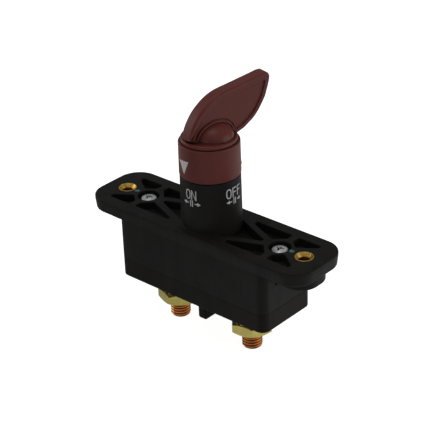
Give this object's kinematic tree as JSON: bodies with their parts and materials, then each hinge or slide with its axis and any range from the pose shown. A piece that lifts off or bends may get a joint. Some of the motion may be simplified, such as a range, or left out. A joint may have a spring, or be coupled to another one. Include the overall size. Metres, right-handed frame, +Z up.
{
  "type": "rotary battery isolator switch",
  "caption": "Panel-mounted rotary isolator: turn handle on a round tower, ribbed flange with two threaded inserts, rectangular body, and threaded copper terminal studs below.",
  "frame": {"origin": "on the handle's axis, at the level of the flange's top face, which bears on the back of the panel", "axes": "+Z up along the handle's axis, +X along the flange towards the OFF side, -Y towards the ON side"},
  "size_m": [0.1346, 0.0518, 0.1298],
  "materials": {
    "phenolic_black": "compression-moulded black phenolic, semi-matte with fine mottling",
    "handle_red": "satin oxblood-red moulded plastic",
    "rubber_black": "matte nitrile rubber",
    "insert_brass": "turned bright brass",
    "yellow_brass": "milled yellow brass, slightly dull",
    "copper": "bare rolled-thread copper",
    "bright_zinc": "bright zinc plate",
    "steel": "plain spring and bar steel",
    "nylon": "natural glass-filled nylon",
    "contact_silver": "silver alloy contact face"
  },
  "bodies": {
    "housing_body": {"housing": "phenolic_black", "base_cover": "phenolic_black", "base_gasket": "rubber_black", "insert_left": "insert_brass", "insert_right": "insert_brass", "cover_screw_left": "bright_zinc", "cover_screw_right": "bright_zinc", "terminal_stud_left": "copper", "terminal_stud_right": "copper", "stud_seal_left": "rubber_black", "stud_seal_right": "rubber_black", "flat_washer_left": "yellow_brass", "flat_washer_right": "yellow_brass", "lock_washer_left": "yellow_brass", "lock_washer_right": "yellow_brass", "terminal_nut_left": "yellow_brass", "terminal_nut_right": "yellow_brass", "shaft_seal": "rubber_black", "contact_spring": "steel"},
    "handle_body": {"handle": "handle_red", "indicator_collar": "handle_red", "handle_shaft": "steel", "handle_roll_pin": "steel", "drive_pin": "steel", "shaft_retaining_clip": "steel"},
    "bridge_body": {"bridge_carrier": "nylon", "contact_bridge": "copper", "contact_pad_left": "contact_silver", "contact_pad_right": "contact_silver", "carrier_clip": "steel"}
  },
  "joints": [
    {"name": "handle_turn", "type": "hinge", "parent": "housing_body", "child": "handle_body", "pos_m": [0, 0, 0], "axis": [0, 0, 1], "range_deg": [0, 104]},
    {"name": "bridge_lift", "type": "slide", "parent": "housing_body", "child": "bridge_body", "axis": [0, 0, 1], "range_m": [0, 0.005], "deforming": ["contact_spring"]}
  ],
  "couplings": [
    {"joint": "handle_turn", "follows": "bridge_lift", "rad_per_m": 363.02}
  ]
}
